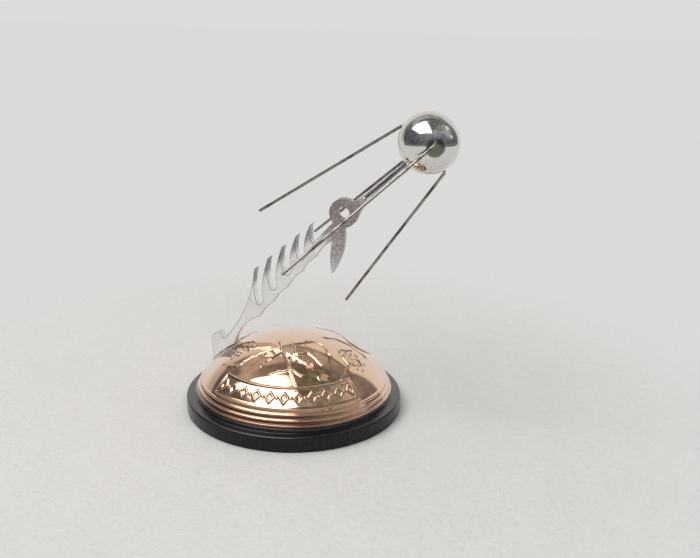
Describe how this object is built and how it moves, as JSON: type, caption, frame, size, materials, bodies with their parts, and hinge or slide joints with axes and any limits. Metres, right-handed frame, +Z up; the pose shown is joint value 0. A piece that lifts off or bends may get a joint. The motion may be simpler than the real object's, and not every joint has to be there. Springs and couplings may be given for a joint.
{
  "type": "desk model of a round satellite on a globe stand",
  "caption": "Desk ornament: a mirror-bright round satellite with swept-back whip antennas on a flame-shaped strut, rising from a rose-gold globe dome on a black disc.",
  "frame": {"origin": "centre of the base disc, on its underside", "axes": "+Z up; the strut and its ball rise towards +X in the XZ plane; the model's front, with the panel on the dome, faces -Y"},
  "size_m": [0.0827, 0.0687, 0.0946],
  "materials": {
    "black_base": "turned black moulding, satin gloss",
    "rose_gold_dome": "polished and coloured rose gold",
    "satin_strut": "cast, satin",
    "mirror_ball": "mirror polished",
    "antenna_wire": "drawn wire, dulled",
    "screw_steel": "plain"
  },
  "bodies": {
    "root": {"base": "black_base", "clamp_screw": "screw_steel", "dome": "rose_gold_dome", "strut": "satin_strut", "satellite_ball": "mirror_ball", "antenna_upper": "antenna_wire", "antenna_rear": "antenna_wire", "antenna_front": "antenna_wire", "antenna_lower": "antenna_wire"}
  },
  "joints": []
}
